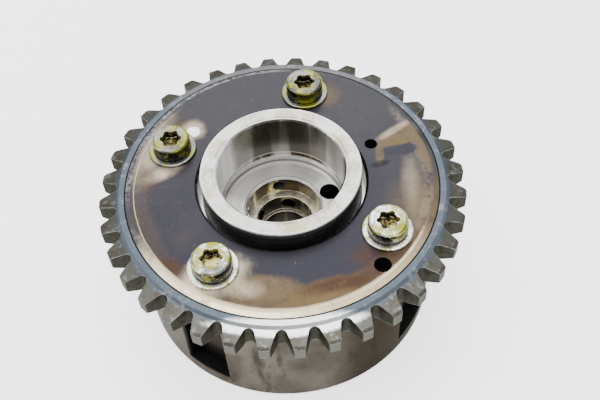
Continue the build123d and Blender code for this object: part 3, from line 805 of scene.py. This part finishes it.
def makeBolt():
    b = boltShape
    bolt = startRound("boltPattern", b["sides"], b["headRadius"], b["headBottom"], b["headTop"])
    # crown: a shallow step down inside the rim
    openMesh(bolt, "polygons", lambda face: face.normal.z > 0.9)
    bpy.ops.mesh.inset(thickness=(b["headRadius"] - b["crownRadius"]) * mm, depth=0)
    bpy.ops.mesh.inset(thickness=b["crownStep"] * mm, depth=-b["crownDrop"] * mm)
    # shank below, drawn in at its tip
    openMesh(bolt, "polygons", lambda face: face.normal.z < -0.9)
    bpy.ops.mesh.inset(thickness=(b["headRadius"] - b["shankRadius"]) * mm, depth=0)
    shankLength = b["headBottom"] - b["shankEnd"] - b["tipLength"]
    for length in (shankLength, b["tipLength"]):
        bpy.ops.mesh.extrude_region_move(TRANSFORM_OT_translate={"value": (0, 0, -length * mm)})
    narrow = (b["shankRadius"] - b["tipLength"]) / b["shankRadius"]
    bpy.ops.transform.resize(value=(narrow, narrow, 1), center_override=(0, 0, b["shankEnd"] * mm))
    closeMesh()
    # rounded shoulder and foot of the head, the socket, and the broken edge at its mouth
    rim, beyond = b["headRadius"] - 0.001, b["headRadius"] + 1
    bevelRing(bolt, b["headTop"], rim, beyond, b["headRounding"], b["headSegments"])
    bevelRing(bolt, b["headBottom"], rim, beyond, b["footRounding"], b["footSegments"])
    cutSocket(bolt)
    bevelRing(bolt, b["headTop"] - b["crownDrop"], 0, b["mouthReach"], b["mouthRounding"], b["mouthSegments"])
    smoothPiece(bolt)
    return bolt


# washers: flat ring with rounded edges; lengths in mm
washerShape = {
    "sides": 96, "radius": 6.15, "hole": 3.2, "bottom": 40.85, "top": 41.6,
    "rounding": 0.28, "segments": 4, "bevelAngle": 40,
}


def makeWasher():
    w = washerShape
    washer = startRound("washerPattern", w["sides"], w["radius"], w["bottom"], w["top"])
    # the hole: the inner part of both faces goes, and the two circles left are bridged
    openMesh(washer, "polygons", lambda face: abs(face.normal.z) > 0.9)
    bpy.ops.mesh.inset(thickness=(w["radius"] - w["hole"]) * mm, depth=0)
    bpy.ops.mesh.delete(type="FACE")
    hole = (w["hole"] + 0.05) * mm

    def onHole(edge):
        return all(washer.data.vertices[i].co.xy.length < hole for i in edge.vertices)

    openMesh(washer, "edges", onHole)
    bpy.ops.mesh.bridge_edge_loops()
    closeMesh()
    applyModifier(washer, "BEVEL", width=w["rounding"] * mm, segments=w["segments"], limit_method="ANGLE",
                  angle_limit=math.radians(w["bevelAngle"]))
    faceOutwards(washer)
    smoothPiece(washer)
    return washer


def makeFasteners():
    boltPattern, washerPattern = makeBolt(), makeWasher()
    for number, (x, y) in enumerate(boltPlaces, start=1):
        shift = (x * mm, y * mm, 0)
        bolt = placeCopy(boltPattern, f"headedBolt{number}", shift)
        standFor(bolt, f"cover_bolt_{number}", "housing", "wornBoltZinc")
        washer = placeCopy(washerPattern, f"flatWasher{number}", shift)
        standFor(washer, f"bolt_washer_{number}", "housing", "wornWasherZinc")
    for pattern in (boltPattern, washerPattern):
        bpy.data.objects.remove(pattern)


makeFasteners()
print("bolts and washers made")

# lock spring: a coil of wire between two heights; lengths in mm
coilShape = {
    "wireRadius": 0.4, "wireSides": 12, "meanRadius": 2.35, "low": 10.5, "high": 26.0,
    "turnDegrees": 378, "turns": 7, "stepsPerTurn": 24,
    "circle": 25.3, "angle": 23.0, "pinTravel": 3.0,
}


def makeCoil():
    c = coilShape
    length = c["high"] - c["low"]
    rise = (length - 2 * c["wireRadius"]) / c["turns"]
    wireStart = (c["meanRadius"] * mm, 0, (c["low"] + c["wireRadius"]) * mm)
    coil = startPiece("coiledSpring", bpy.ops.mesh.primitive_circle_add, vertices=c["wireSides"],
                      radius=c["wireRadius"] * mm, location=wireStart, rotation=(math.pi / 2, 0, 0))
    applyModifier(coil, "SCREW", angle=math.radians(c["turnDegrees"]), screw_offset=rise * mm,
                  iterations=c["turns"], steps=c["stepsPerTurn"], render_steps=c["stepsPerTurn"],
                  use_merge_vertices=False)
    openMesh(coil, "vertices", lambda vertex: True)
    bpy.ops.mesh.fill_holes(sides=0)
    faceOutwards(coil)
    axisPlace = polar(c["circle"] * mm, c["angle"])
    shiftMesh(coil, (*axisPlace, 0))
    smoothPiece(coil)
    standFor(coil, "lock_pin_spring", "rotor", "drawnSpringSteel")
    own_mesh(coil)


makeCoil()
print("lock spring made")

# studio: pale glowing floor, sky that is bright overhead only, and soft boxes; lengths in metres
studio = {
    "white": (1, 1, 1, 1),
    "floorSize": 40.0, "floorDrop": 0.0002, "floorTint": (0.92, 0.92, 0.92, 1),
    "floorRoughness": 0.9, "floorGlow": 1.7,
    "skyTop": 5.0, "skyRim": 0.6, "skyFade": (0.83, 0.90),
    # name, place, width and height, power; all turned to the aim
    "aim": (0, 0, 0.03),
    "boxes": [
        ("backBox", (0.0, 0.75, 0.75), (0.9, 0.5), 4.5),
        ("leftBox", (-0.7, -0.1, 0.55), (0.5, 0.5), 3.0),
        ("frontBox", (0.25, -0.75, 0.35), (0.7, 0.25), 2.0),
    ],
}


def makeSky():
    world = bpy.data.worlds.new("studioWorld")
    bpy.context.scene.world = world
    world.use_nodes = True
    tree = world.node_tree
    start = Wire(tree, None)
    height = start.node("ShaderNodeSeparateXYZ", {}, {0: start.node("ShaderNodeTexCoord", output=0)}, 2)
    strength = studio["skyRim"] + ease(height, *studio["skyFade"]) * (studio["skyTop"] - studio["skyRim"])
    tree.links.new(strength.socket, tree.nodes["Background"].inputs["Strength"])
    tree.nodes["Background"].inputs["Color"].default_value = studio["white"]


def makeFloor():
    bpy.ops.mesh.primitive_plane_add(size=studio["floorSize"], location=(0, 0, -studio["floorDrop"]))
    floor = bpy.context.active_object
    floor.name = "studioFloor"
    pale = bpy.data.materials.new("paleFloor")
    pale.use_nodes = True
    surface = pale.node_tree.nodes["Principled BSDF"]
    surface.inputs["Base Color"].default_value = studio["floorTint"]
    surface.inputs["Roughness"].default_value = studio["floorRoughness"]
    surface.inputs["Emission Color"].default_value = studio["white"]
    surface.inputs["Emission Strength"].default_value = studio["floorGlow"]
    floor.data.materials.append(pale)


def makeBoxes():
    for name, location, size, power in studio["boxes"]:
        light = bpy.data.lights.new(name, "AREA")
        light.shape = "RECTANGLE"
        light.size, light.size_y = size
        light.energy = power
        lamp = bpy.data.objects.new(name, light)
        lamp.location = location
        towards = Vector(studio["aim"]) - Vector(location)
        lamp.rotation_euler = towards.to_track_quat("-Z", "Y").to_euler()
        bpy.context.scene.collection.objects.link(lamp)


makeSky()
makeFloor()
makeBoxes()
print("studio ready")
